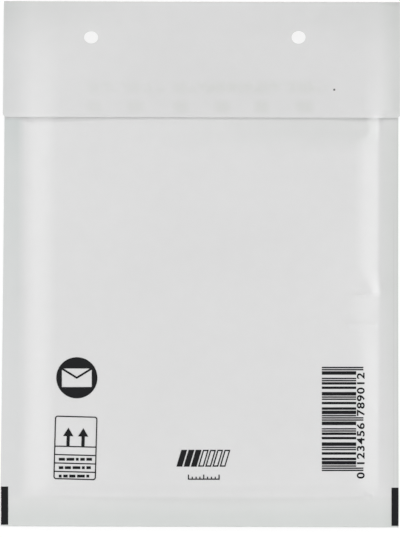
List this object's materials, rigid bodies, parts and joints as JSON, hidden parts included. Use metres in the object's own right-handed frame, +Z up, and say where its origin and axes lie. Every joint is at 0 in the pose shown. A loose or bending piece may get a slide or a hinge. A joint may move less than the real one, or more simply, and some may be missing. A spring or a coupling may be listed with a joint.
{
  "type": "padded envelope",
  "caption": "Small white paper mailing envelope lined with bubble film, lying flat with its flap folded over and punched through for hanging.",
  "frame": {"origin": "on the floor, under the middle of the envelope's outline", "axes": "+X across the envelope, +Y from the bottom fold towards the flap fold, +Z up out of the flap side, which carries the print"},
  "size_m": [0.17, 0.225, 0.0084],
  "materials": {
    "white_paper": "smooth white kraft paper",
    "bubble_film": "clear polyethylene bubble film",
    "hot_melt_glue": "soft clear glue",
    "release_paper": "siliconised release paper",
    "black_ink": "matt black printing ink"
  },
  "bodies": {
    "root": {"paper_cover": "white_paper", "bubble_lining": "bubble_film", "glue_strip": "hot_melt_glue", "release_liner": "release_paper", "corner_mark_left": "black_ink", "corner_mark_right": "black_ink", "printed_bars": "black_ink", "round_mark": "black_ink", "printed_form": "black_ink", "slanted_bars": "black_ink", "tick_row": "black_ink"}
  },
  "joints": []
}
